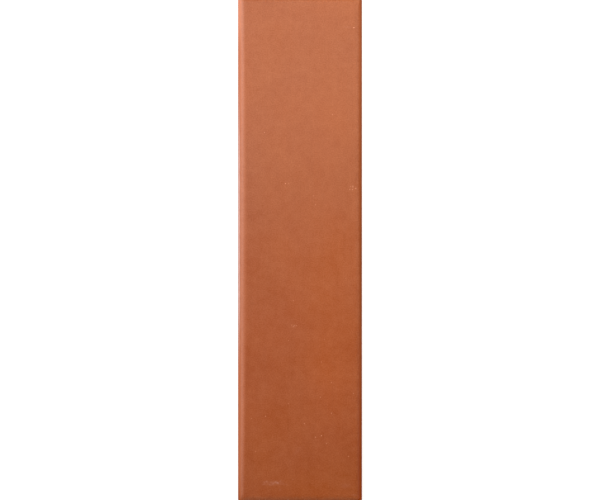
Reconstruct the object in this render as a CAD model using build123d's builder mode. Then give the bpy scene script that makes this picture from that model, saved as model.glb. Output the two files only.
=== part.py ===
# A fired clay facing tile in the long, slim shape of a brick's face.
#
# The tile was pressed and fired as one piece, so it is one solid. It lies on its back with
# its face up: +Z is up, +Y runs along its length, and the origin is at the middle of its
# back. Lengths are in millimetres and angles in degrees.

import math
import os

from build123d import *

# Overall size. The length and width are those of the widest place, just above the back.
tile_length = 300.0
tile_width = 74.0
tile_thickness = 9.0

# The cushion is the border of the face, a quarter of an ellipse that falls to the flank.
cushion_width = 4.0
cushion_depth = 2.2

# The flanks lean inwards as they rise, so that the pressed clay leaves its mould.
flank_draft = 8.0
corner_radius = 0.8  # of the upright corners
back_edge_radius = 0.4  # where the flanks turn under to the back

# The back is keyed for its adhesive, with shallow pockets between ribs inside a border.
key_depth = 0.8
key_border = 5.0
key_rib = 2.6
key_draft = 30.0
key_corner_radius = 0.8  # at the floor of a pocket
key_columns = 4
key_rows = 16

# How far a cutting shape reaches past the tile
overrun = 5.0

# Heights and leans that follow from the sizes above
flank_slope = math.tan(math.radians(flank_draft))
shoulder_height = tile_thickness - cushion_depth

# Rounding the back edge takes off the flank's sharp foot, which stood out by this much
# past the widest place that is left.
sharp_foot = back_edge_radius * (flank_slope + 1 / math.cos(math.radians(flank_draft)) - 1)


def cushioned_half(half_size):
    """Draw the right half of the outline that keeps the tile under its cushioned border.

    half_size is half the tile's size across this section. The outline follows the face and
    the cushion, and then steps out, so that it leaves the flank below it alone."""
    half_shoulder = half_size + sharp_foot - shoulder_height * flank_slope
    half_face = half_shoulder - cushion_width
    outside = half_size + overrun
    Line((0, tile_thickness), (half_face, tile_thickness))
    EllipticalCenterArc((half_face, shoulder_height), cushion_width, cushion_depth, arc_size=90)
    Polyline(
        (half_shoulder, shoulder_height),
        (outside, shoulder_height),
        (outside, -overrun),
        (0, -overrun),
    )


with BuildPart() as tile:
    # The pressed slab, with its leaning flanks and rounded upright corners
    with BuildSketch():
        Rectangle(tile_width + 2 * sharp_foot, tile_length + 2 * sharp_foot)
    extrude(amount=tile_thickness, taper=flank_draft)
    upright_corners = tile.edges().group_by(Axis.Z)[1]
    fillet(upright_corners, corner_radius)

    # The cushion along both long sides, and then across both ends, which mitres it at the corners
    for section, half_size, half_run in (
        (Plane.XZ, tile_width / 2, tile_length / 2),
        (Plane.YZ, tile_length / 2, tile_width / 2),
    ):
        with BuildSketch(section):
            with BuildLine():
                cushioned_half(half_size)
                mirror(about=Plane.YZ)
            make_face()
        extrude(amount=half_run + overrun, both=True, mode=Mode.INTERSECT)

    back = tile.faces().sort_by(Axis.Z).first
    fillet(back.edges(), back_edge_radius)

    # The pockets of the key, each wider at its mouth than at its floor
    key_pitch_x = (tile_width - 2 * key_border + key_rib) / key_columns
    key_pitch_y = (tile_length - 2 * key_border + key_rib) / key_rows
    key_wall_lean = key_depth * math.tan(math.radians(key_draft))
    with BuildSketch():
        with GridLocations(key_pitch_x, key_pitch_y, key_columns, key_rows):
            RectangleRounded(
                key_pitch_x - key_rib, key_pitch_y - key_rib, key_corner_radius + key_wall_lean
            )
    extrude(amount=key_depth, taper=key_draft, mode=Mode.SUBTRACT)

tile.part.label = "tile"
os.makedirs("parts", exist_ok=True)
export_step(tile.part, "parts/tile.step")
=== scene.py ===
# %% [markdown]
# # A fired clay facing tile, seen from straight above
#
# This lesson dresses one imported part: a long, slim wall tile in the shape of a brick's face.
# It was pressed from clay, given a smooth satin skin and fired as one piece, so the scene
# holds one piece too. We take its real size from the imported part, set up the camera, shape
# the tile as one closed mesh, and then give the clay its colour, grain, marks and light.

# %% Load the imported tile
import math

import bmesh
import bpy
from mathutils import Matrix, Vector, noise


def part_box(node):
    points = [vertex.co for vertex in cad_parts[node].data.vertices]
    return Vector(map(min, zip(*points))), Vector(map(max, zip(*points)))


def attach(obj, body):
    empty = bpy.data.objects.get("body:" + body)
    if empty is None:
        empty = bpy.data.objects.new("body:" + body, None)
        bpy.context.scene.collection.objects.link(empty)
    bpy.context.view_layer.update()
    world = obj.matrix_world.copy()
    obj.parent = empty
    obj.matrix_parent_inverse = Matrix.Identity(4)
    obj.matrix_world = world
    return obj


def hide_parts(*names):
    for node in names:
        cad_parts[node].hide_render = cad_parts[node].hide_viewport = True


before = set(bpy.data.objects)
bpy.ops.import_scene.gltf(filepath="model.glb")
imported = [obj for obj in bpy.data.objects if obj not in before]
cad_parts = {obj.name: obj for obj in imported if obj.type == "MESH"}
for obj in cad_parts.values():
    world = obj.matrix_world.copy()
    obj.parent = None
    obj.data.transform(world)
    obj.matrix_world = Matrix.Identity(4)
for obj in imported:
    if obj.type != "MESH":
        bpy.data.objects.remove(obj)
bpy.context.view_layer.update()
tile_low, tile_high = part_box("tile")
mm = 0.001
half_width = tile_high.x
half_length = tile_high.y
face_height = tile_high.z
print("tile, mm:", [round(side / mm, 2) for side in tile_high - tile_low])

# %% [markdown]
# ## The camera
#
# The photograph looks straight down. Its tile is 124 pixels wide, which gives the size of one
# pixel, and a few pixels of its length fall outside the picture. An orthographic camera would
# show both end flanks. The photograph hides them, as a long lens does from about a metre
# away, so we use a 100 mm lens and work out the height from the width of the picture.

# %% Place the camera over the tile
picture_width = 600
picture_middle_row = 250
tile_left_column = 238
tile_right_column = 362
tile_middle_row = 249.3
widest_height = 0.4 * mm  # where the tile is widest, just above its back

pixel_size = 2 * half_width / (tile_right_column - tile_left_column)
lens_mm = 100
sensor_mm = 36
camera_height = pixel_size * picture_width * lens_mm / sensor_mm

camera_data = bpy.data.cameras.new("overhead_camera")
camera_data.lens = lens_mm
camera_data.sensor_width = sensor_mm
camera_data.clip_start = 0.05
camera_data.clip_end = 50
camera = bpy.data.objects.new("overhead_camera", camera_data)
camera.location = (
    0,
    (tile_middle_row - picture_middle_row) * pixel_size,
    widest_height + camera_height,
)
bpy.context.scene.collection.objects.link(camera)
bpy.context.scene.camera = camera
print("one pixel, mm:", round(pixel_size / mm, 4), "camera height, m:", round(camera_height, 3))


def from_picture(column, row):
    """The point of the tile's face that a pixel of the photograph shows."""
    nearness = (camera.location.z - face_height) / camera_height
    across = (column - picture_width / 2) * pixel_size * nearness
    up = (picture_middle_row - row) * pixel_size * nearness
    return Vector((across, camera.location.y + up, face_height))


# %% [markdown]
# ## The shape of a pressed tile
#
# A plain box would have sharp edges that no pressed clay has. The real tile has a cushioned
# border that rolls off the face, flanks that lean inwards so that it leaves its mould, and a
# back keyed with shallow pockets for the adhesive. A bevel modifier can't make that
# lopsided border, so we build the tile from closed rings, one above the other, as a potter
# coils a pot. Each ring is a rounded rectangle, given by how far it lies in from the widest
# place, its height and its corner radius.

# %% Rings that run round the tile
no_distance = 1e-9


def side_steps(count, crowding):
    """Places from -1 to 1 along a side, closer together near its ends by crowding."""
    shares = [step / count for step in range(count + 1)]
    wave = crowding / (2 * math.pi)
    return [2 * (share - wave * math.sin(2 * math.pi * share)) - 1 for share in shares]


def round_the_sides(across, along):
    """Every place round a square, once, from its lowest corner and counter-clockwise."""
    low_side = [(u, -1) for u in across[:-1]]
    right_side = [(1, v) for v in along[:-1]]
    high_side = [(u, 1) for u in across[:0:-1]]
    left_side = [(-1, v) for v in along[:0:-1]]
    return low_side + right_side + high_side + left_side


def rounded_point(u, v, half_x, half_y, radius):
    """A place on a square, moved out to a rectangle with rounded corners."""
    x, y = u * half_x, v * half_y
    core_x = max(-half_x + radius, min(half_x - radius, x))
    core_y = max(-half_y + radius, min(half_y - radius, y))
    reach = math.hypot(x - core_x, y - core_y)
    if reach < no_distance:
        return x, y
    share = min(radius, reach) / reach if radius else 0
    return core_x + (x - core_x) * share, core_y + (y - core_y) * share


def bridge(mesh, outer, inner):
    """Join two rings of equal count with a band of four-sided faces."""
    count = len(outer)
    for i in range(count):
        after = (i + 1) % count
        mesh.faces.new((outer[i], outer[after], inner[after], inner[i]))


four_steps = side_steps(4, 0)
print("a side in four steps:", four_steps)
print("places round that square:", len(round_the_sides(four_steps, four_steps)))

# %% [markdown]
# ## The section, from the back edge up to the face
#
# The section is a short list of stations: a quarter circle under the flank, the leaning
# flank, and a quarter of an ellipse for the cushion. The corners of the rings grow softer
# as they climb the cushion, which turns the hard mitre of two crossing borders into the
# soft one that a press leaves.

# %% List the stations of the section
cushion_width = 4.0 * mm
cushion_depth = 2.2 * mm
flank_draft_degrees = 8
corner_radius = 0.8 * mm
inner_corner_radius = 3.0 * mm
back_edge_radius = 0.4 * mm
flat_insets = (5.0 * mm, 6.5 * mm, 8.0 * mm)
arc_steps = 3
flank_steps = 8
cushion_steps = 12

shoulder_height = face_height - cushion_depth
flank_slope = math.tan(math.radians(flank_draft_degrees))
flank_lean = (shoulder_height - back_edge_radius) * flank_slope

# Each station is an inset, a height and a corner radius.
stations = []
for step in range(arc_steps + 1):
    angle = math.radians(90 * step / arc_steps)
    inset = back_edge_radius * (1 - math.sin(angle))
    stations.append((inset, back_edge_radius * (1 - math.cos(angle)), corner_radius))
for step in range(1, flank_steps + 1):
    share = step / flank_steps
    height = back_edge_radius + share * (shoulder_height - back_edge_radius)
    stations.append((flank_lean * share, height, corner_radius))
for step in range(1, cushion_steps + 1):
    angle = math.radians(90 * step / cushion_steps)
    inset = flank_lean + cushion_width * (1 - math.cos(angle))
    height = shoulder_height + cushion_depth * math.sin(angle)
    softness = (1 - math.cos(angle)) * (inner_corner_radius - corner_radius)
    stations.append((inset, height, corner_radius + softness))
border_width = stations[-1][0]
for inset in flat_insets:
    left = 1 - (inset - flat_insets[0]) / (flat_insets[-1] - flat_insets[0])
    stations.append((max(inset, border_width), face_height, inner_corner_radius * left))
print("section stations:", len(stations), "border ends at, mm:", round(border_width / mm, 2))

# %% [markdown]
# ## The keyed back
#
# The tile is bedded in adhesive, and pockets in its back give that something to grip. Cutting
# them with a boolean would leave long thin faces. Instead each pocket is a nest of rings
# inside its own square, from the middle of one rib to the middle of the next, so neighbours
# share their outermost ring and the whole back is one clean sheet.

# %% Sizes of the key
key_depth = 0.8 * mm
key_border = 5.0 * mm
key_rib = 2.6 * mm
key_draft_degrees = 30
key_corner_radius = 0.8 * mm
key_columns = 4
key_rows = 16
pocket_steps = 12
rib_edge_ease = 0.15 * mm
ease_in_share = 0.3
ease_down_share = 0.4
pocket_floor_inset = 1.6 * mm

key_wall_lean = key_depth * math.tan(math.radians(key_draft_degrees))
key_half_x = half_width - key_border + key_rib / 2
key_half_y = half_length - key_border + key_rib / 2
key_pitch_x = 2 * key_half_x / key_columns
key_pitch_y = 2 * key_half_y / key_rows
pitches = [round(pitch / mm, 2) for pitch in (key_pitch_x, key_pitch_y)]
print("pockets:", key_columns * key_rows, "pitches, mm:", pitches)

# %% List the rings of a pocket
mouth = key_rib / 2
foot = mouth + key_wall_lean
mouth_radius = key_corner_radius + key_wall_lean
ease_in = ease_in_share * rib_edge_ease
ease_down = ease_down_share * rib_edge_ease

# Each ring is a distance in from the rib's middle, a depth and a corner radius.
pocket_rings = [
    (mouth - rib_edge_ease, 0, mouth_radius + rib_edge_ease),
    (mouth + ease_in, ease_down, mouth_radius),
    (foot - ease_in, key_depth - ease_down, key_corner_radius),
    (foot + rib_edge_ease, key_depth, key_corner_radius),
    (foot + pocket_floor_inset, key_depth, 0),
]
print("rings of a pocket:", len(pocket_rings), "mouth radius, mm:", round(mouth_radius / mm, 2))

# %% [markdown]
# ## Flat stretches as grids
#
# The floor of a pocket and the middle of the face are flat. Blender could fill such a ring
# with one many-sided face, but smooth shading goes wrong over the long thin triangles that it
# is cut into. We fill it with a grid of small squares that meets the ring's own corners.

# %% Fill a ring with a grid


def fill_grid(mesh, ring, across, along, half_x, half_y, height, middle=(0, 0)):
    """Fill a rectangular ring with a grid of four-sided faces that uses the ring's corners.

    It returns where on the square, from -1 to 1 each way, each new corner lies."""
    edge = dict(zip(round_the_sides(across, along), ring))
    placed = {}
    rows = []
    for v in along:
        row = []
        for u in across:
            vertex = edge.get((u, v))
            if vertex is None:
                place = (middle[0] + u * half_x, middle[1] + v * half_y, height)
                vertex = mesh.verts.new(place)
                placed[vertex] = (u, v)
            row.append(vertex)
        rows.append(row)
    for below, above in zip(rows, rows[1:]):
        for i in range(len(across) - 1):
            mesh.faces.new((below[i], below[i + 1], above[i + 1], above[i]))
    return placed


print("squares in a pocket's floor:", pocket_steps ** 2)

# %% [markdown]
# ## The back, pocket by pocket
#
# Each pocket starts from a square of vertices along the middles of its ribs. Neighbours ask
# for those vertices by the same two step counts, so they get the same ones, and the sheet
# closes without any merging afterwards.

# %% Build the back


def build_key(mesh):
    """Add the whole keyed back, and return its outline as a ring."""
    shared = {}

    def shared_vertex(column_step, row_step):
        """The vertex at these steps of the key's fine grid."""
        steps_away = (column_step, row_step)
        if steps_away not in shared:
            x = -key_half_x + column_step * key_pitch_x / pocket_steps
            y = -key_half_y + row_step * key_pitch_y / pocket_steps
            shared[steps_away] = mesh.verts.new((x, y, 0))
        return shared[steps_away]

    steps = side_steps(pocket_steps, 0)
    square = round_the_sides(steps, steps)
    for column in range(key_columns):
        for row in range(key_rows):
            middle_x = -key_half_x + (column + 0.5) * key_pitch_x
            middle_y = -key_half_y + (row + 0.5) * key_pitch_y
            ring = [
                shared_vertex(
                    round((column + (u + 1) / 2) * pocket_steps),
                    round((row + (v + 1) / 2) * pocket_steps),
                )
                for u, v in square
            ]
            for inset, depth, radius in pocket_rings:
                half_x, half_y = key_pitch_x / 2 - inset, key_pitch_y / 2 - inset
                inner = []
                for u, v in square:
                    x, y = rounded_point(u, v, half_x, half_y, radius)
                    inner.append(mesh.verts.new((middle_x + x, middle_y + y, depth)))
                bridge(mesh, ring, inner)
                ring = inner
            fill_grid(mesh, ring, steps, steps, half_x, half_y, depth, (middle_x, middle_y))
    last_column, last_row = key_columns * pocket_steps, key_rows * pocket_steps
    outline = [(step, 0) for step in range(last_column)]
    outline += [(last_column, step) for step in range(last_row)]
    outline += [(step, last_row) for step in range(last_column, 0, -1)]
    outline += [(0, step) for step in range(last_row, 0, -1)]
    return [shared[place] for place in outline]


print("key, mm:", [round(2 * side / mm, 2) for side in (key_half_x, key_half_y)])

# %% [markdown]
# ## From the back up and over the face
#
# The flanks and the face need finer steps than the back. One ring of triangles on the flat
# border of the back doubles the count, where nobody can see the change.

# %% Close the tile from the back to the face
face_steps_across = 2 * key_columns * pocket_steps
face_steps_along = 2 * key_rows * pocket_steps
corner_crowding = 0.45
back_border_inset = 2.0 * mm


def double_the_steps(mesh, coarse, fine):
    """Join a ring to one with twice as many steps."""
    count = len(coarse)
    for i in range(count):
        start, end = coarse[i], coarse[(i + 1) % count]
        first, middle, last = fine[2 * i], fine[2 * i + 1], fine[(2 * i + 2) % len(fine)]
        mesh.faces.new((start, first, middle))
        mesh.faces.new((start, middle, end))
        mesh.faces.new((end, middle, last))


def build_tile():
    """One closed mesh of the tile, and what its unfolding needs.

    That is where each vertex of the shell lies on its ring and how far along the section, the
    number of faces on the back, the whole walk along the section, and half the flat's sizes."""
    mesh = bmesh.new()
    outline = build_key(mesh)
    across = side_steps(face_steps_across, corner_crowding)
    along = side_steps(face_steps_along, corner_crowding)
    places = round_the_sides(across, along)
    unfolded = {}
    ring, walked, before = None, 0, (back_border_inset, 0)
    for inset, height, radius in [(back_border_inset, 0, corner_radius)] + stations:
        half_x, half_y = half_width - inset, half_length - inset
        walked += math.dist((inset, height), before)
        before = (inset, height)
        upper = []
        for u, v in places:
            x, y = rounded_point(u, v, half_x, half_y, radius)
            vertex = mesh.verts.new((x, y, height))
            unfolded[vertex] = (u, v, walked)
            upper.append(vertex)
        if ring is None:
            double_the_steps(mesh, outline, upper)
            back_faces = len(mesh.faces)
        else:
            bridge(mesh, ring, upper)
        ring = upper
    face_places = fill_grid(mesh, ring, across, along, half_x, half_y, face_height)
    for vertex, (u, v) in face_places.items():
        unfolded[vertex] = (u, v, walked)
    mesh.normal_update()
    bmesh.ops.recalc_face_normals(mesh, faces=mesh.faces[:])
    return mesh, unfolded, back_faces, walked, (half_x, half_y)


tile_mesh, unfolded, back_face_count, section_walk, flat_half = build_tile()
open_edges = sum(not edge.is_manifold for edge in tile_mesh.edges)
print("faces:", len(tile_mesh.faces), "vertices:", len(tile_mesh.verts), "open edges:", open_edges)

# %% [markdown]
# ## Unfolding the tile like a box
#
# When the finish is baked for other programs, each point of the surface needs a place of its
# own on a flat picture. We unfold the face, its border and the flanks as one nest of
# rectangles, with nothing overlapping, and lay the back beside it.

# %% Lay the surface out flat
shell_strip = (0.01, 0.72)
back_strip = (0.74, 0.99)
sheet_height = (0.01, 0.99)


def between(limits, share):
    """The value that lies this share of the way, from -1 to 1, between two limits."""
    return limits[0] + (limits[1] - limits[0]) * (share + 1) / 2


def unfold(mesh, back_faces):
    """Give each corner of each face its place on the flat sheet."""
    layer = mesh.loops.layers.uv.new("OFBake")
    sheet_x, sheet_y = flat_half[0] + section_walk, flat_half[1] + section_walk
    mesh.faces.ensure_lookup_table()
    for index, face in enumerate(mesh.faces):
        for loop in face.loops:
            if index < back_faces:
                x, y = loop.vert.co.x / half_width, loop.vert.co.y / half_length
                strip = back_strip
            else:
                u, v, walked = unfolded[loop.vert]
                x = u * (flat_half[0] + section_walk - walked) / sheet_x
                y = v * (flat_half[1] + section_walk - walked) / sheet_y
                strip = shell_strip
            loop[layer].uv = (between(strip, x), between(sheet_height, y))


unfold(tile_mesh, back_face_count)
print("along the section from the back border to the face, mm:", round(section_walk / mm, 2))

# %% [markdown]
# ## Uneven by a hair
#
# Pressed and fired clay is never dead flat. The face swims by a few hundredths of a
# millimetre, which we only notice where it mirrors a lamp. The cushion wanders a little more,
# and the raw flanks and back are grainy. A displace modifier would move them all alike, so
# we push each vertex inwards ourselves, by its own kind of noise. Nothing moves outwards, and
# the tile keeps its size.

# %% Push the surface in with noise
# Each kind of unevenness has a depth, a length and a seed.
face_swim = (0.03 * mm, 34 * mm, 37)
cushion_wander = (0.07 * mm, 11 * mm, 41)
flank_grain = (0.07 * mm, 2.2 * mm, 53)
back_grain = (0.07 * mm, 2.2 * mm, 23)
back_swim = (0.10 * mm, 40 * mm, 11)
flat_tolerance = 0.01 * mm


def unevenness(place, depth, length, seed):
    """A depth from nothing to this one, which varies smoothly over this length."""
    wave = noise.noise(place / length + Vector((seed, 0, 0)))
    return depth * max(0, min(1, 0.5 + wave))


def press_in(place, is_back):
    """How far the clay lies inside its ideal surface at this place."""
    if is_back:
        return unevenness(place, *back_swim) + unevenness(place, *back_grain)
    if place.z > face_height - flat_tolerance:
        return unevenness(place, *face_swim)
    wander = unevenness(place, *cushion_wander)
    if place.z > shoulder_height:
        fall = (face_height - place.z) / cushion_depth
        return (1 - fall) * unevenness(place, *face_swim) + fall * wander
    rise = (place.z - back_edge_radius) / (shoulder_height - back_edge_radius)
    rise = max(0, min(1, rise))
    middle = 4 * rise * (1 - rise)
    return rise * wander + middle * unevenness(place, *flank_grain)


def ease_surface(mesh, back_faces):
    """Move every vertex in along its normal."""
    mesh.faces.ensure_lookup_table()
    on_back = {vertex for face in mesh.faces[:back_faces] for vertex in face.verts}
    moves = [
        (vertex, vertex.normal * -press_in(vertex.co, vertex in on_back))
        for vertex in mesh.verts
    ]
    for vertex, move in moves:
        vertex.co += move
    return max(move.length for _, move in moves)


deepest = ease_surface(tile_mesh, back_face_count)
print("deepest dip, mm:", round(deepest / mm, 3))

# %% [markdown]
# ## One piece, two surfaces
#
# The wetted, struck side is smooth down to a little way below the face, and the rest is raw.
# Two meshes would leave a seam, so we keep one mesh with two material slots. It rides on the
# tile's body and replaces the imported solid.

# %% Turn the mesh into the tile that replaces the imported one
face_slot, raw_slot = 0, 1
smooth_above = 7.9 * mm


def is_smooth_side(face):
    """Whether a face belongs to the smooth pressed side."""
    return min(vertex.co.z for vertex in face.verts) > smooth_above


tile_mesh.faces.ensure_lookup_table()
for index, face in enumerate(tile_mesh.faces):
    face.smooth = True
    smooth_side = index >= back_face_count and is_smooth_side(face)
    face.material_index = face_slot if smooth_side else raw_slot

tile_data = bpy.data.meshes.new("clay_tile")
tile_mesh.to_mesh(tile_data)
tile_mesh.free()
clay_tile = bpy.data.objects.new("clay_tile", tile_data)
bpy.context.scene.collection.objects.link(clay_tile)
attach(clay_tile, "root")
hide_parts("tile")
print("triangles:", sum(len(polygon.vertices) - 2 for polygon in tile_data.polygons))

# %% [markdown]
# ## Helpers for the finish
#
# Every finish below is a small tree of nodes. Building one by hand takes many clicks, and in
# code a few helpers keep it short. `add` adds a node and plugs in whatever it is given, and
# `calc` does one step of arithmetic. `new_group` starts a node group, which is a finish with
# named inputs that several materials can share, and `use` places it with its own values.

# %% Add nodes and sums


def plug_in(tree, sockets, inputs):
    """Give each named socket its number or colour, or another node's output."""
    for name, value in inputs.items():
        if isinstance(value, bpy.types.NodeSocket):
            tree.links.new(value, sockets[name])
        else:
            sockets[name].default_value = value


def add(tree, kind, inputs=None, **settings):
    """Add a node with these settings and inputs."""
    made = tree.nodes.new(kind)
    for name, value in settings.items():
        setattr(made, name, value)
    plug_in(tree, made.inputs, inputs or {})
    return made


def calc(tree, operation, *values, clamp=False):
    """One step of arithmetic on numbers and outputs."""
    inputs = dict(enumerate(values))
    return add(tree, "ShaderNodeMath", inputs, operation=operation, use_clamp=clamp).outputs[0]


def rescale(tree, value, low, high, to_low=0, to_high=1):
    """Ease a value from one range to another, and hold it at the ends."""
    inputs = {"Value": value, "From Min": low, "From Max": high}
    inputs.update({"To Min": to_low, "To Max": to_high})
    eased = add(tree, "ShaderNodeMapRange", inputs, interpolation_type="SMOOTHSTEP")
    return eased.outputs["Result"]


def weigh(tree, start, masks, weights):
    """A start value plus each named mask times its weight."""
    total = start
    for name, weight in weights.items():
        total = calc(tree, "MULTIPLY_ADD", masks[name], weight, total)
    return total


print("helpers for sums:", [helper.__name__ for helper in (add, calc, rescale, weigh)])

# %% Start a group, and use it
number_socket = "NodeSocketFloat"
vector_socket = "NodeSocketVector"
origin = (0, 0, 0)


def new_group(name, inputs, outputs):
    """Start a node group. An input that is given the origin is a vector, the rest are numbers."""
    group = bpy.data.node_groups.new(name, "ShaderNodeTree")
    for label, value in inputs.items():
        kind = vector_socket if value == origin else number_socket
        socket = group.interface.new_socket(label, in_out="INPUT", socket_type=kind)
        socket.default_value = value
    for label in outputs:
        group.interface.new_socket(label, in_out="OUTPUT", socket_type=number_socket)
    given = add(group, "NodeGroupInput").outputs
    result = add(group, "NodeGroupOutput").inputs
    return group, given, result


def use(tree, group, inputs):
    """Place a group in a material with its own values."""
    return add(tree, "ShaderNodeGroup", inputs, node_tree=group).outputs


print("helpers for groups:", [helper.__name__ for helper in (new_group, use)])

# %% Mix, shade and bump
first_colour, second_colour, mixed_colour = 6, 7, 2  # the colour sockets of a Mix node


def blend_colour(tree, share, first, second):
    """Mix two colours by a share."""
    inputs = {"Factor": share, first_colour: first, second_colour: second}
    mix = add(tree, "ShaderNodeMix", inputs, data_type="RGBA", clamp_factor=True)
    return mix.outputs[mixed_colour]


def scale_colour(tree, tint, factor):
    """Lighten or darken a colour."""
    inputs = {0: tint if isinstance(tint, bpy.types.NodeSocket) else tint[:3], "Scale": factor}
    return add(tree, "ShaderNodeVectorMath", inputs, operation="SCALE").outputs["Vector"]


def relief(tree, strength, depth, height):
    """The normal of a surface with this fine relief."""
    inputs = {"Strength": strength, "Distance": depth, "Height": height}
    return add(tree, "ShaderNodeBump", inputs).outputs[0]


print("helpers for looks:", [helper.__name__ for helper in (blend_colour, scale_colour, relief)])

# %% [markdown]
# ## Clouds in the clay
#
# A kiln never heats evenly, and a mix of clays never fires to one colour. The face of this
# tile is nearly uniform, with very faint clouds a few centimetres wide. A noise texture gives
# them. We shift it to swing about zero, so that a material can add it to its colour without
# getting lighter or darker overall.

# %% Group: kiln clouds
noise_gain = 4.0


def swing(tree, value):
    """Noise keeps mostly to the middle half of 0 to 1, so this makes it swing from -1 to 1."""
    return calc(tree, "MULTIPLY_ADD", value, noise_gain, -noise_gain / 2)


def make_kiln_clouds():
    """Soft clouds that swing from about -1 to 1 over this size."""
    group, given, result = new_group(
        "kiln_clouds",
        {"Place": origin, "Size": 0.03, "Lengthen": 1.0, "Detail": 2.0, "Seed": 0.0},
        ["Cloud"],
    )
    squeeze = calc(group, "DIVIDE", 1.0, given["Lengthen"])
    longer = add(group, "ShaderNodeCombineXYZ", {"X": 1.0, "Y": squeeze, "Z": 1.0}).outputs[0]
    inputs = {0: given["Place"], 1: longer}
    drawn = add(group, "ShaderNodeVectorMath", inputs, operation="MULTIPLY")
    cloud = add(
        group,
        "ShaderNodeTexNoise",
        {
            "Vector": drawn.outputs[0],
            "W": given["Seed"],
            "Scale": calc(group, "DIVIDE", 1.0, given["Size"]),
            "Detail": given["Detail"],
        },
        noise_dimensions="4D",
    )
    plug_in(group, result, {"Cloud": swing(group, cloud.outputs[0])})
    return group


kiln_clouds = make_kiln_clouds()


def clouds(tree, place, size, seed, detail=1.0, lengthen=1.0):
    """Kiln clouds of this size, drawn out along the tile where lengthen is over 1."""
    values = {"Place": place, "Size": size, "Seed": seed, "Detail": detail, "Lengthen": lengthen}
    return use(tree, kiln_clouds, values)["Cloud"]


print("group:", kiln_clouds.name)

# %% [markdown]
# ## Grain and specks
#
# Close up, fired clay is a fine grit. Most grains only shade the surface, and a few pale ones
# of sand or lime stand out as specks. The grit is a fine noise, used for colour and for
# height. The specks are the middles of a few cells of a Voronoi texture, chosen by each
# cell's random colour, which spreads them without any pattern.

# %% Group: clay grain
faintest_speck = 0.3
speck_rise = 2.0


def make_clay_grain():
    """Fine grit, about -1 to 1, its height, and a mask of scattered pale specks."""
    group, given, result = new_group(
        "clay_grain",
        {
            "Place": origin,
            "Grit Size": 0.5 * mm,
            "Speck Spacing": 4 * mm,
            "Speck Size": 0.4 * mm,
            "Speck Share": 0.3,
        },
        ["Grit", "Height", "Specks"],
    )
    grit = add(
        group,
        "ShaderNodeTexNoise",
        {
            "Vector": given["Place"],
            "Scale": calc(group, "DIVIDE", 1.0, given["Grit Size"]),
            "Detail": 3.0,
            "Roughness": 0.6,
        },
    )
    grit_swing = swing(group, grit.outputs[0])
    scale = calc(group, "DIVIDE", 1.0, given["Speck Spacing"])
    cells = add(group, "ShaderNodeTexVoronoi", {"Vector": given["Place"], "Scale": scale}).outputs
    reach = calc(group, "MULTIPLY", cells["Distance"], given["Speck Spacing"])
    near = calc(group, "SUBTRACT", 1.0, calc(group, "DIVIDE", reach, given["Speck Size"]), clamp=True)
    lottery = add(group, "ShaderNodeSeparateColor", {"Color": cells["Color"]}).outputs
    chosen = calc(group, "LESS_THAN", lottery["Red"], given["Speck Share"])
    strength = calc(group, "MULTIPLY_ADD", lottery["Green"], 1 - faintest_speck, faintest_speck)
    specks = calc(group, "MULTIPLY", calc(group, "MULTIPLY", near, chosen), strength)
    height = calc(group, "MULTIPLY_ADD", specks, speck_rise, grit_swing)
    plug_in(group, result, {"Grit": grit_swing, "Specks": specks, "Height": height})
    return group


clay_grain = make_clay_grain()
print("group:", clay_grain.name)

# %% [markdown]
# ## Marks with a place of their own
#
# Some marks on the face are single events: a speck of lime, a scuff, a smear from a thumb.
# Noise can't put them where they are on the real tile. One group draws a soft ellipse at a
# given place, and we use it again for every mark. A mapping node moves the mark's centre to
# zero, undoes its turn and divides by its half sizes. There the ellipse is a plain circle,
# and the distance from its middle says how far a point is from the rim.

# %% Group: one mark on the face


def make_single_mark():
    """A soft ellipse round a centre, turned about the upright axis."""
    group, given, result = new_group(
        "single_mark",
        {
            "Place": origin,
            "Centre": origin,
            "Half Length": 1 * mm,
            "Half Width": 0.5 * mm,
            "Turn": 0.0,
            "Softness": 0.8,
        },
        ["Mask"],
    )
    halves = {"X": given["Half Length"], "Y": given["Half Width"], "Z": 1.0}
    moves = {
        "Vector": given["Place"],
        "Location": given["Centre"],
        "Rotation": add(group, "ShaderNodeCombineXYZ", {"Z": given["Turn"]}).outputs[0],
        "Scale": add(group, "ShaderNodeCombineXYZ", halves).outputs[0],
    }
    on_the_mark = add(group, "ShaderNodeMapping", moves, vector_type="TEXTURE").outputs[0]
    distance = add(group, "ShaderNodeVectorMath", {0: on_the_mark}, operation="LENGTH")
    reach = distance.outputs["Value"]
    inner = calc(group, "SUBTRACT", 1.0, given["Softness"])
    outer = calc(group, "ADD", 1.0, given["Softness"])
    plug_in(group, result, {"Mask": rescale(group, reach, inner, outer, 1.0, 0.0)})
    return group


single_mark = make_single_mark()


def mark_mask(tree, place, pixel, half_length, half_width, turn=0, softness=0.8):
    """The mask of a mark whose middle is at this pixel, turned by this many degrees."""
    return use(tree, single_mark, {
        "Place": place,
        "Centre": from_picture(*pixel),
        "Half Length": half_length,
        "Half Width": half_width,
        "Turn": math.radians(turn),
        "Softness": softness,
    })["Mask"]


print("group:", single_mark.name)

# %% [markdown]
# ## A painted highlight along the left border
#
# The highlight and reflection that the window on the left gives along the left border and
# its flank are painted into the clay, as a pale film. The group fades a film in past a line
# and between two ends, and clouds break it up.

# %% Group: painted highlight film
patch_size = 6 * mm
patch_seed = 3.0


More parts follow.
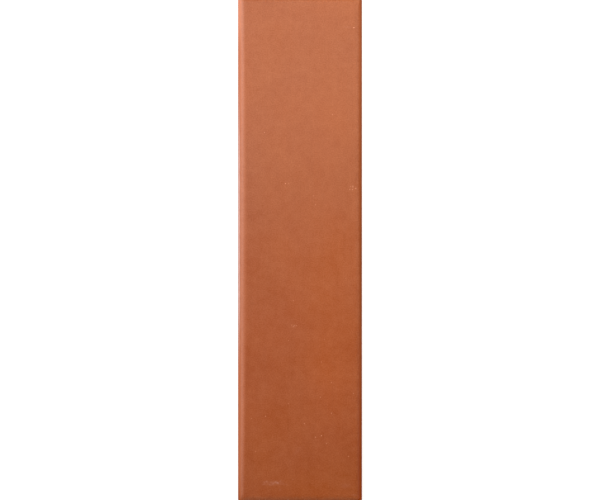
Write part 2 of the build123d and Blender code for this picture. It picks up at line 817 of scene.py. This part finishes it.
def make_painted_light_film():
    """A pale painted highlight on the left side of a line, fading in and out along the length."""
    group, given, result = new_group(
        "painted_light_film",
        {
            "Place": origin,
            "Line": 35 * mm,
            "Fade": 1 * mm,
            "From": -0.1,
            "To": 0.1,
            "End Fade": 0.03,
            "Patchiness": 0.4,
        },
        ["Film"],
    )
    parts = add(group, "ShaderNodeSeparateXYZ", {0: given["Place"]}).outputs
    leftwards = calc(group, "MULTIPLY", parts["X"], -1.0)
    past = calc(group, "ADD", given["Line"], given["Fade"])
    side = rescale(group, leftwards, given["Line"], past)
    low_end = calc(group, "SUBTRACT", given["From"], given["End Fade"])
    high_end = calc(group, "ADD", given["To"], given["End Fade"])
    rising = rescale(group, parts["Y"], low_end, given["From"])
    falling = rescale(group, parts["Y"], given["To"], high_end, 1.0, 0.0)
    patches = clouds(group, given["Place"], patch_size, patch_seed, detail=3.0)
    broken = calc(group, "MULTIPLY", patches, given["Patchiness"])
    uneven = calc(group, "ADD", 1.0, broken, clamp=True)
    stretch = calc(group, "MULTIPLY", rising, falling)
    film = calc(group, "MULTIPLY", calc(group, "MULTIPLY", side, stretch), uneven)
    plug_in(group, result, {"Film": film})
    return group


painted_light_film = make_painted_light_film()


def lay_painted_light(tree, place, shape):
    """The painted highlight film that has this shape."""
    return use(tree, painted_light_film, {"Place": place, **shape})["Film"]


print("group:", painted_light_film.name)

# %% [markdown]
# ## The marks on this face
#
# These are the marks that the photograph shows, each named for where it lies. Pale specks are
# a little over half a millimetre wide, and a row of them makes the one short scratch. Scuffs
# and rubs are larger and much fainter. We give each its column and row in the photograph, and
# the camera's arithmetic turns those into places on the clay.

# %% List the specks
speck_half_size = 0.30 * mm
speck_softness = 0.6

# column, row, and how far the speck is towards the pale clay
specks = {
    "lime_by_top_right_edge": (353.65, 27.6, 0.80),
    "lime_right_tail": (354.6, 27.4, 0.36),
    "upper_right": (332.5, 114.6, 0.40),
    "upper_left": (264.5, 132.4, 0.40),
    "pair_bright": (285.5, 183.5, 0.62),
    "pair_faint": (288.5, 183.5, 0.22),
    "right_of_middle": (313.6, 195.7, 0.22),
    "right_of_middle_lower": (315.5, 204.75, 0.34),
    "cluster_low_left": (349.8, 189.5, 0.34),
    "cluster_top_left": (350.4, 186.6, 0.28),
    "cluster_top": (352.9, 186.1, 0.46),
    "cluster_top_foot": (352.9, 187.2, 0.36),
    "cluster_low": (352.5, 189.5, 0.48),
    "cluster_right": (355.5, 188.5, 0.50),
    "cluster_right_tip": (356.4, 188.2, 0.20),
    "by_right_edge": (345.5, 278.5, 0.14),
    "left_of_middle": (293.5, 300.4, 0.28),
    "scratch_low_end": (293.2, 326.6, 0.24),
    "scratch_middle": (293.9, 326.0, 0.24),
    "scratch_high_end": (294.6, 325.4, 0.24),
    "scratch_left_dot": (291.5, 325.3, 0.19),
    "scratch_right_dot": (296.4, 325.5, 0.27),
    "scratch_far_dot": (296.9, 322.6, 0.10),
    "scratch_outer_dot": (286.5, 324.5, 0.09),
    "below_middle_right": (324.4, 339.5, 0.20),
    "below_middle_left": (288.5, 340.5, 0.26),
    "lower_right_first": (321.5, 362.0, 0.28),
    "lower_right_second": (331.5, 382.5, 0.32),
    "lower_right_edge": (353.5, 393.6, 0.34),
    "lower_right_third": (320.5, 397.2, 0.36),
    "lower_left_middle": (288.5, 403.5, 0.26),
    "lower_right_fourth": (331.5, 413.2, 0.40),
    "lower_left_bright": (265.5, 416.2, 0.46),
    "lower_left_edge": (251.5, 418.5, 0.30),
    "bottom_middle": (304.5, 423.5, 0.46),
    "bottom_right_bright": (321.5, 435.65, 0.62),
    "bottom_right_second": (315.5, 437.2, 0.40),
    "bottom_right_third": (326.5, 443.5, 0.32),
    "bottom_left": (255.5, 451.5, 0.26),
    "bottom_right_edge": (348.6, 456.4, 0.40),
    "at_the_bottom_border": (302.5, 497.1, 0.20),
}
print("specks:", len(specks))

# %% List the scuffs
# column, row, half length and half width in pixels, turn in degrees, and how worn it is
scuffs = {
    "streak_left_of_the_lime": (348.3, 27.3, 3.5, 0.8, -4, 0.05),
    "scuff_haze": (271.6, 483.1, 9.8, 2.3, 0, 0.035),
    "scuff_left_hook": (263.4, 484.3, 1.5, 0.7, 25, 0.07),
    "scuff_left_rise": (264.5, 482.2, 1.2, 0.6, -10, 0.05),
    "scuff_left_dot": (266.6, 481.5, 0.8, 0.7, 0, 0.11),
    "scuff_low_dot": (269.6, 484.7, 0.9, 0.6, 10, 0.08),
    "scuff_upper_dot": (271.5, 482.6, 0.8, 0.6, 0, 0.06),
    "scuff_rise": (273.4, 483.5, 2.5, 0.7, 40, 0.09),
    "scuff_crest": (277.0, 482.5, 2.0, 0.9, -28, 0.12),
    "scuff_brightest": (277.8, 482.9, 0.9, 0.7, -20, 0.09),
    "scuff_right_dot": (280.4, 481.0, 0.8, 0.7, 0, 0.10),
    "scuff_right_bend": (281.0, 483.2, 1.6, 0.6, 60, 0.03),
    "scuff_tail_first": (283.3, 484.0, 0.9, 0.6, -20, 0.05),
    "scuff_tail_last": (286.7, 484.6, 0.9, 0.6, 0, 0.07),
    "dot_below_the_scuff": (279.9, 489.6, 0.9, 0.7, 0, 0.06),
    "dot_right_of_the_scuff": (292.7, 479.6, 0.9, 0.7, 20, 0.06),
    "smudge_by_bottom_right": (346.0, 485.8, 4.5, 2.2, 0, 0.04),
    "rub_at_the_right_corner": (354.8, 495.1, 3.4, 0.9, 0, 0.05),
    "smear_low_middle": (297.5, 451.0, 5.5, 1.6, 52, 0.025),
}
print("scuffs:", len(scuffs))

# %% [markdown]
# ## Every mark in two masks
#
# A mix node for each mark would make a long chain of colours. The marks of a kind lead to the
# same colour, so we add up their masks, each times its own strength, and mix once.

# %% Place the specks and the scuffs


def place_marks(tree, place, patches):
    """The specks of the face as one mask, and its scuffs, broken into patches, as another."""
    pale = 0.0
    for column, row, paleness in specks.values():
        sizes = (speck_half_size, speck_half_size)
        mask = mark_mask(tree, place, (column, row), *sizes, softness=speck_softness)
        pale = calc(tree, "MULTIPLY_ADD", mask, paleness, pale)
    worn = 0.0
    for column, row, half_length, half_width, turn, wear in scuffs.values():
        sizes = (half_length * pixel_size, half_width * pixel_size)
        mask = mark_mask(tree, place, (column, row), *sizes, turn)
        worn = calc(tree, "MULTIPLY_ADD", mask, wear, worn)
    return pale, calc(tree, "MULTIPLY", worn, patches)


print("marks:", len(specks) + len(scuffs))

# %% [markdown]
# ## Patches from the firing
#
# The firing left broad, faint patches on the face: some more orange, some pinker, some a
# little lighter or darker. They lie where the photograph shows them, so they are marks too,
# drawn by the same group, but so wide and soft that no rim shows.

# %% List the fired patches
patch_turn = 90  # degrees, which lays a mark along the tile
patch_softness = 0.9

# column, row, half length along the tile and half width in pixels, then how much pinker the
# clay is fired there, and how much lighter
fired_patches = {
    "orange_right_of_middle": (327, 306, 72, 23, -0.38, 0.015),
    "orange_upper_right": (331, 124, 30, 18, -0.35, 0.020),
    "orange_lower_left": (268, 438, 24, 20, -0.30, 0.0),
    "pink_left_edge": (250, 222, 60, 9, 0.35, 0.0),
    "pink_middle": (300, 276, 26, 14, 0.20, -0.006),
    "light_right": (333, 230, 22, 14, 0.0, 0.018),
    "light_lower_right": (334, 388, 56, 18, 0.14, 0.055),
    "dark_left_of_middle": (268, 282, 26, 16, 0.0, -0.020),
    "dark_lower_left": (284, 362, 26, 16, 0.0, -0.014),
    "smudge_by_left_edge": (253.3, 303.6, 1.3, 2.2, 0.0, -0.05),
    "orange_upper_left": (262, 100, 45, 28, -0.35, 0.012),
    "pink_lower_middle": (300, 362, 70, 70, 0.45, 0.018),
    "orange_near_end": (300, 494, 22, 62, -0.5, -0.012),
    "dark_near_right": (350, 482, 26, 16, 0.0, -0.03),
}


def fire_patches(tree, place):
    """How much pinker, and how much lighter, the firing left the clay."""
    pinker, lighter = 0.0, 0.0
    for column, row, half_length, half_width, pink, light in fired_patches.values():
        sizes = (half_length * pixel_size, half_width * pixel_size)
        mask = mark_mask(tree, place, (column, row), *sizes, patch_turn, patch_softness)
        pinker = calc(tree, "MULTIPLY_ADD", mask, pink, pinker)
        lighter = calc(tree, "MULTIPLY_ADD", mask, light, lighter)
    return pinker, lighter


print("fired patches:", len(fired_patches))

# %% [markdown]
# ## The colours of the clay
#
# The face drifts between two colours of one clay, orange and pink. The grit is a colour that
# is added and taken away, because grains that were multiplied in would fade in the dark. Pale
# clay and worn clay are what the marks blend towards. Salmon is a painted highlight and sheen,
# a pinkish white is a painted glint, and a deep orange is a painted shade.

# %% Name the colours
face_orange = (0.432, 0.093, 0.0165, 1)
face_pink = (0.402, 0.089, 0.0245, 1)
grit_colour = (0.062, 0.032, 0.018, 1)
pale_clay = (0.90, 0.40, 0.24, 1)
worn_clay = (0.91, 0.52, 0.43, 1)
raw_clay_colour = (0.36, 0.085, 0.025, 1)
# painted highlight and sheen on the long borders
painted_highlight_salmon = (0.96, 0.345, 0.195, 1)
# painted glint on the left flank and at its far corner
painted_glint_colour = (0.95, 0.67, 0.66, 1)
# painted shade towards the near end of the right border
painted_shade_orange = (0.35, 0.050, 0.004, 1)
print("face, from orange to pink:", face_orange[:3], face_pink[:3])

# %% [markdown]
# ## The start of a clay
#
# Both clays start in the same way: a Principled shader, coordinates that stay with the tile,
# and a set of masks by name, which are its clouds and its grain. Each clay then says in small
# tables how much every mask counts, so its recipe can be read and changed in one place.

# %% Start a material and find its masks


def empty_material(name):
    """A material with nothing but its output, and that output's Surface socket."""
    material = bpy.data.materials.new(name)
    material.use_nodes = True
    tree = material.node_tree
    tree.nodes.clear()
    return material, tree, add(tree, "ShaderNodeOutputMaterial").inputs["Surface"]


def start_clay(name):
    """A material with a Principled shader, that shader's inputs and the Object coordinates."""
    material, tree, surface = empty_material(name)
    shader = add(tree, "ShaderNodeBsdfPrincipled")
    tree.links.new(shader.outputs[0], surface)
    place = add(tree, "ShaderNodeTexCoord").outputs["Object"]
    return material, tree, shader.inputs, place


def find_masks(tree, place, cloud_shapes, grain_shape):
    """The clouds and the grain of a clay, by name."""
    masks = {name: clouds(tree, place, **shape) for name, shape in cloud_shapes.items()}
    grain = use(tree, clay_grain, {"Place": place, **grain_shape})
    masks.update(grit=grain["Grit"], height=grain["Height"], specks=grain["Specks"])
    return masks


print("helpers for clays:", [helper.__name__ for helper in (start_clay, find_masks)])

# %% [markdown]
# ## The two long borders
#
# The left border is painted pale along its whole length, as the highlight and reflection of
# the window on the left, in a film that is widest at its middle and thin at the near end. Its
# far corner has a second film with a trace of white, a painted glint. The right border is
# painted a little paler towards its far end, as sheen, and deeper towards its near end, as
# shade. Both clays show there, so each of these is a function that both materials call.

# %% Painted highlight on the left border, painted sheen and shade on the right
# painted highlight: a pale film along the left border, for the light of the window on the left
highlight_line = 30.6 * mm
highlight_fade = 4.4 * mm
highlight_narrowing = 0.10  # metres for each square metre of the distance from the middle
left_highlight = {"From": -0.08, "To": 0.15, "End Fade": 0.18, "Patchiness": 0.1}
highlight_near_end_thinning = (-0.152, -0.136, 0.3, 1.0)

# painted highlight at the far left corner, with a trace of painted white glint
far_corner_glint = {
    "Line": 34.4 * mm, "Fade": 1.4 * mm,
    "From": 0.094, "To": 0.15, "End Fade": 0.024, "Patchiness": 0.15,
}
corner_glint_gathering = (0.116, 0.136, 0.24, 1.0)
corner_glint_share = 0.29
least_corner_glint = 0.04
more_corner_glint = 0.06

# Where each tone starts and ends across the tile, then along it with its strength at either
# end, and the colour that it leads to. The first is painted sheen, the second painted shade.
right_sheen_and_shade = [
    ((34.4 * mm, 35.3 * mm), (0.01, 0.13, 0.0, 0.09), painted_highlight_salmon),
    ((33.4 * mm, 35.2 * mm), (-0.15, -0.03, 0.7, 0.0), painted_shade_orange),
]


def paint_left_highlight(tree, place, share):
    """How far the left border is painted pale as highlight, and the painted glint at its far corner.
    """
    along = add(tree, "ShaderNodeSeparateXYZ", {0: place}).outputs["Y"]
    narrowing = calc(tree, "MULTIPLY", calc(tree, "MULTIPLY", along, along), highlight_narrowing)
    line = calc(tree, "ADD", highlight_line, narrowing)
    fade = calc(tree, "SUBTRACT", highlight_fade, narrowing)
    film = lay_painted_light(tree, place, {"Line": line, "Fade": fade, **left_highlight})
    thinned = calc(tree, "MULTIPLY", film, rescale(tree, along, *highlight_near_end_thinning))
    corner = lay_painted_light(tree, place, far_corner_glint)
    gathered = rescale(tree, along, *corner_glint_gathering)
    paleness = calc(tree, "MULTIPLY", thinned, share)
    cornered = calc(tree, "MULTIPLY", corner, gathered)
    paleness = calc(tree, "MULTIPLY_ADD", cornered, corner_glint_share, paleness)
    whitening = calc(tree, "MULTIPLY_ADD", gathered, more_corner_glint, least_corner_glint)
    return paleness, calc(tree, "MULTIPLY", corner, whitening)


def paint_right_sheen_and_shade(tree, place, clay):
    """The right border: painted sheen towards its far end, painted shade towards its near end."""
    spot = add(tree, "ShaderNodeSeparateXYZ", {0: place}).outputs
    for across, along, tone in right_sheen_and_shade:
        side = rescale(tree, spot["X"], *across)
        share = calc(tree, "MULTIPLY", side, rescale(tree, spot["Y"], *along))
        clay = blend_colour(tree, share, clay, tone)
    return clay


print("left film starts, mm from the middle:", round(highlight_line / mm, 1))

# %% [markdown]
# ## The smooth face
#
# The pressed side was wetted and struck smooth, which draws the finest clay to the surface.
# Fired, it is a warm brown-orange. A picture of clay would repeat and blur, so the colour is
# worked out: one clay, shaded a percent or two by clouds, grit and the fine lines of the
# wiping, with the hue drifting between orange and pink. The near end is painted a little
# darker, as shade where the light falls off.

# %% Paint the bare face
face_clouds = {
    "broad": {"size": 55 * mm, "seed": 1.0},
    "hue": {"size": 32 * mm, "seed": 8.0, "detail": 2.0},
    "wiping": {"size": 1.6 * mm, "seed": 9.0, "lengthen": 30.0},
    "patchy": {"size": 16 * mm, "seed": 2.0},
    "fine": {"size": 4 * mm, "seed": 5.0, "detail": 3.0},
}
# painted shade: the face darkens towards the near end, where the light falls off
painted_end_shade_range = (-0.170, -0.040, 1.0, 0.0)
middle_pinkness = 0.5

# how much each mask counts in the shade, in the hue and in the grit
face_shading = {"painted_end_shade": -0.07, "lighter": 1.0, "broad": 0.032, "wiping": 0.020}
face_pinkening = {"leftwards": 0.20, "hue": 0.28, "pinker": 0.65}
face_sanding = {"grit": 1.0, "fine": 0.34, "patchy": 0.20}


def paint_face(tree, place, masks):
    """The colour of the bare face, from its firing, its clouds and its grit."""
    spot = add(tree, "ShaderNodeSeparateXYZ", {0: place}).outputs
    masks["painted_end_shade"] = rescale(tree, spot["Y"], *painted_end_shade_range)
    masks["leftwards"] = calc(tree, "DIVIDE", spot["X"], -half_width)
    masks["pinker"], masks["lighter"] = fire_patches(tree, place)
    shade = weigh(tree, 1.0, masks, face_shading)
    pinkness = weigh(tree, middle_pinkness, masks, face_pinkening)
    pinkness = calc(tree, "ADD", pinkness, 0.0, clamp=True)
    clay = scale_colour(tree, blend_colour(tree, pinkness, face_orange, face_pink), shade)
    grit = scale_colour(tree, grit_colour, weigh(tree, 0.0, masks, face_sanding))
    return add(tree, "ShaderNodeVectorMath", {0: clay, 1: grit}, operation="ADD").outputs["Vector"]


print("the near end darkens from, m:", painted_end_shade_range[1], "to", painted_end_shade_range[0])

# %% [markdown]
# ## Marks, films and a satin skin
#
# The face's material lays the rest over that colour, one mix at a time: the specks, the
# scuffs, the painted highlight of the left border, the painted glint at its far corner and the
# painted sheen and shade of the right border. The skin is satin, rougher where it is marked,
# and a bump of a hundredth of a millimetre gives it a grain that only shows where a lamp
# grazes it.

# %% Material: smooth terracotta
face_grain = {
    "Grit Size": 0.75 * mm,
    "Speck Spacing": 3.2 * mm,
    "Speck Size": 0.42 * mm,
    "Speck Share": 0.35,
}
scattered_paleness = 0.10
scuff_patchiness = 0.5
scuff_cover = 0.9
face_highlight_share = 0.29
# where the painted highlight thins on the shoulder of the left border, which paints a darker line
# there, and how much
highlight_gap_on_shoulder = {
    "Line": 34.7 * mm, "Fade": 0.5 * mm,
    "From": -0.085, "To": -0.01, "End Fade": 0.04, "Patchiness": 0.1,
}
highlight_gap_share = -0.3

face_specular = 0.61
face_roughness = 0.34
face_roughening = {"patchy": 0.02, "fine": 0.02, "marks": 0.4, "worn": 0.4}
face_heights = {"height": 0.5, "fine": 0.6}
face_bump = (0.5, 0.012 * mm)  # its strength and its depth


def make_smooth_terracotta():
    """The satin clay of the face and its cushioned border."""
    material, tree, shader, place = start_clay("smooth_terracotta")
    masks = find_masks(tree, place, face_clouds, face_grain)
    clay = paint_face(tree, place, masks)
    patches = calc(tree, "MULTIPLY_ADD", masks["fine"], scuff_patchiness, scuff_cover, clamp=True)
    masks["marks"], masks["worn"] = place_marks(tree, place, patches)
    pale = calc(tree, "MULTIPLY_ADD", masks["specks"], scattered_paleness, masks["marks"])
    clay = blend_colour(tree, calc(tree, "MINIMUM", pale, 1.0), clay, pale_clay)
    clay = blend_colour(tree, masks["worn"], clay, worn_clay)
    # painted highlight along the left border, and painted glint at its far corner
    film, corner_glint = paint_left_highlight(tree, place, face_highlight_share)
    # the painted highlight thins on the shoulder, which paints a darker line there
    bare = lay_painted_light(tree, place, highlight_gap_on_shoulder)
    film = calc(tree, "MULTIPLY", film, calc(tree, "MULTIPLY_ADD", bare, highlight_gap_share, 1.0))
    clay = blend_colour(tree, film, clay, painted_highlight_salmon)
    clay = blend_colour(tree, corner_glint, clay, painted_glint_colour)
    height = weigh(tree, 0.0, masks, face_heights)
    plug_in(tree, shader, {
        "Base Color": paint_right_sheen_and_shade(tree, place, clay),
        "Specular IOR Level": face_specular,
        "Roughness": weigh(tree, face_roughness, masks, face_roughening),
        "Normal": relief(tree, *face_bump, height),
    })
    return material


smooth_terracotta = make_smooth_terracotta()
print("material:", smooth_terracotta.name, "nodes:", len(smooth_terracotta.node_tree.nodes))

# %% [markdown]
# ## The raw flanks and back
#
# Where nobody smoothed it, the clay is dry, open and a little darker. Its relief is deeper
# and its specks lie closer, and it hardly mirrors anything, so the roughness is high and the
# specular level is nothing. The reflection that the left flank shows is painted in instead, as
# a white glint that is thickest along the flank. We build it with the same helpers, so that
# the two clays differ in their tables and not in their way.

# %% Material: raw fired clay
raw_clouds = {
    "broad": {"size": 40 * mm, "seed": 13.0, "detail": 2.0},
    "patchy": {"size": 9 * mm, "seed": 17.0, "detail": 3.0},
    "fine": {"size": 1.8 * mm, "seed": 19.0, "detail": 3.0},
}
raw_grain = {
    "Grit Size": 0.7 * mm,
    "Speck Spacing": 2.4 * mm,
    "Speck Size": 0.5 * mm,
    "Speck Share": 0.5,
}
raw_shading = {"broad": 0.04, "patchy": 0.05, "fine": 0.05, "grit": 0.08}
raw_speck_paleness = 0.35
raw_highlight_share = 0.34
# painted reflection: a white glint along the left flank
flank_glint = {
    "Line": 35.4 * mm, "Fade": 0.2 * mm, "From": -0.02, "To": 0.045, "End Fade": 0.06,
}
flank_glint_share = 0.45
flank_glint_breaking = {"fine": 0.10, "grit": 0.10}

raw_specular = 0.0
raw_roughness = 0.88
raw_roughening = {"patchy": 0.03}
raw_heights = {"height": 1.0, "fine": 1.0}
raw_bump = (0.8, 0.05 * mm)


def make_raw_clay():
    """The dry clay of the flanks and the back."""
    material, tree, shader, place = start_clay("raw_fired_clay")
    masks = find_masks(tree, place, raw_clouds, raw_grain)
    clay = scale_colour(tree, raw_clay_colour, weigh(tree, 1.0, masks, raw_shading))
    pale = calc(tree, "MULTIPLY", masks["specks"], raw_speck_paleness)
    clay = blend_colour(tree, pale, clay, pale_clay)
    # painted highlight on the left flank, and painted glint at its far corner
    film, corner_glint = paint_left_highlight(tree, place, raw_highlight_share)
    clay = blend_colour(tree, film, clay, painted_highlight_salmon)
    # the painted glint along the left flank, broken up a little
    flank_glint_strength = weigh(tree, flank_glint_share, masks, flank_glint_breaking)
    flank_glint_mask = lay_painted_light(tree, place, flank_glint)
    painted_glint = calc(tree, "MULTIPLY_ADD", flank_glint_mask, flank_glint_strength, corner_glint)
    clay = blend_colour(tree, painted_glint, clay, painted_glint_colour)
    height = weigh(tree, 0.0, masks, raw_heights)
    plug_in(tree, shader, {
        "Base Color": paint_right_sheen_and_shade(tree, place, clay),
        "Specular IOR Level": raw_specular,
        "Roughness": weigh(tree, raw_roughness, masks, raw_roughening),
        "Normal": relief(tree, *raw_bump, height),
    })
    return material


raw_fired_clay = make_raw_clay()
tile_data.materials.append(smooth_terracotta)
tile_data.materials.append(raw_fired_clay)
print("material:", raw_fired_clay.name, "nodes:", len(raw_fired_clay.node_tree.nodes))

# %% [markdown]
# ## Floor, ceiling, walls and sky
#
# The photograph was cut out on white. A lamp strong enough to burn a real floor to white would
# burn the clay too. Instead the floor shines a little by itself, only for rays from the
# camera or a mirror, and keeps its plain colour for the light that it throws on the tile. A
# dim ceiling hangs high above, because the satin face mirrors what is over it, and in the
# photograph that was a dark room. Four grey walls do the same for the view from the side.
# They show only in a mirror, so they take no light away.

# %% Paint for the studio
floor_paleness = 0.8
floor_glow = 0.62
ceiling_paleness = 0.3
wall_brightness = 0.15


def seen_directly(tree):
    """1 for rays from the camera, a mirror or a glass, and 0 for the rest."""
    rays = add(tree, "ShaderNodeLightPath").outputs
    mirrored = calc(tree, "MAXIMUM", rays["Is Glossy Ray"], rays["Is Transmission Ray"])
    return calc(tree, "MAXIMUM", rays["Is Camera Ray"], mirrored)


def grey(paleness):
    """A grey as a colour."""
    return (paleness, paleness, paleness, 1)


def make_floor_finish():
    """Plain pale paint that looks white to the camera and keeps a shadow, clear from below."""
    material, tree, surface = empty_material("floor_paint")
    paint = add(tree, "ShaderNodeBsdfDiffuse", {"Color": grey(floor_paleness)})
    glow_strength = calc(tree, "MULTIPLY", seen_directly(tree), floor_glow)
    glow = add(tree, "ShaderNodeEmission", {"Strength": glow_strength})
    lit = add(tree, "ShaderNodeAddShader", {0: paint.outputs[0], 1: glow.outputs[0]})
    under = add(tree, "ShaderNodeNewGeometry").outputs["Backfacing"]
    clear = add(tree, "ShaderNodeBsdfTransparent")
    sided = add(tree, "ShaderNodeMixShader", {0: under, 1: lit.outputs[0], 2: clear.outputs[0]})
    tree.links.new(sided.outputs[0], surface)
    return material


def make_plain_finish(name, shader, inputs):
    """One plain shader."""
    material, tree, surface = empty_material(name)
    tree.links.new(add(tree, shader, inputs).outputs[0], surface)
    return material


floor_paint = make_floor_finish()
ceiling_paint = make_plain_finish(
    "ceiling_paint", "ShaderNodeBsdfDiffuse", {"Color": grey(ceiling_paleness)}
)
wall_paint = make_plain_finish("wall_paint", "ShaderNodeEmission", {"Strength": wall_brightness})
print("paints:", floor_paint.name, ceiling_paint.name, wall_paint.name)

# %% [markdown]
# ## The room and the sky
#
# The floor is wide enough to fill every view, and it lies a hair below the tile, so that the
# two surfaces don't fight. The walls stand on a gap and reach the ceiling. The sky is plain
# white where it is seen, and weaker for the light that it throws.

# %% Stage the floor, the ceiling, the walls and the sky
floor_half_size = 8.0
floor_gap = 0.2 * mm
room_half_size = 2.2
room_height = 3.0
wall_foot = 0.05
sky_strength = 0.64


def square(half_size, height):
    """The corners of a level square."""
    sides = [(-1, -1), (1, -1), (1, 1), (-1, 1)]
    return [(half_size * x, half_size * y, height) for x, y in sides]


def add_to_stage(name, points, faces, finish):
    """A mesh that belongs to the studio, with its paint."""
    data = bpy.data.meshes.new(name)
    data.from_pydata(points, [], faces)
    data.materials.append(finish)
    made = bpy.data.objects.new(name, data)
    bpy.context.scene.collection.objects.link(made)
    return made


add_to_stage("floor", square(floor_half_size, -floor_gap), [(0, 1, 2, 3)], floor_paint)
add_to_stage("ceiling", square(room_half_size, room_height), [(0, 1, 2, 3)], ceiling_paint)
wall_points = square(room_half_size, wall_foot) + square(room_half_size, room_height)
wall_faces = [(i, (i + 1) % 4, (i + 1) % 4 + 4, i + 4) for i in range(4)]
walls = add_to_stage("walls", wall_points, wall_faces, wall_paint)
walls.visible_camera = False
walls.visible_diffuse = False
walls.visible_shadow = False

world = bpy.data.worlds.new("studio_sky")
bpy.context.scene.world = world
world.use_nodes = True
sky_tree = world.node_tree
sky_tree.nodes.clear()
sky_light = calc(sky_tree, "MULTIPLY_ADD", seen_directly(sky_tree), 1 - sky_strength, sky_strength)
sky = add(sky_tree, "ShaderNodeBackground", {"Color": grey(1), "Strength": sky_light})
sky_output = add(sky_tree, "ShaderNodeOutputWorld")
sky_tree.links.new(sky.outputs[0], sky_output.inputs["Surface"])
print("room, m:", 2 * room_half_size, "by", room_height, "sky:", sky_strength)

# %% [markdown]
# ## Two lamps
#
# The face gets lighter towards its far end and the left border carries a long highlight, so
# the photograph had a broad warm light overhead, past the far end, and a window high on the
# left. We build both as area lamps. Their strengths are given as brightness, and a lamp's
# power is that times pi and its area, so we can move or resize one without guessing again.

# %% Hang the lamps
warm_white = (1, 0.98, 0.80)
plain_white = (1, 1, 1)


def hang_lamp(name, place, aim, width, length, brightness, tint):
    """An area lamp at a place, turned towards its aim, with its length along the tile."""
    data = bpy.data.lights.new(name, "AREA")
    data.shape = "RECTANGLE"
    data.size = width
    data.size_y = length
    data.energy = brightness * math.pi * width * length
    data.color = tint
    lamp = bpy.data.objects.new(name, data)
    lamp.location = place
    lamp.rotation_euler = (Vector(place) - Vector(aim)).to_track_quat("Z", "Y").to_euler()
    lamp.visible_camera = False
    bpy.context.scene.collection.objects.link(lamp)
    return lamp


lamps = [
    hang_lamp(
        "overhead_softbox", place=(0.11, 0.375, 0.50), aim=(0.11, 0.375, 0),
        width=1.00, length=0.69, brightness=1.45, tint=warm_white,
    ),
    hang_lamp(
        "side_window", place=(-1.25, 0.5, 1.4), aim=(0, 0, 0),
        width=1.4, length=1.0, brightness=2.5, tint=plain_white,
    ),
]
print("lamps:", [(lamp.name, round(lamp.data.energy, 2)) for lamp in lamps])

# %% [markdown]
# ## Finish
#
# The colours should come out as they were written, so the view transform is the plain one.

# %% Set the view transform
bpy.context.scene.view_settings.view_transform = "Standard"
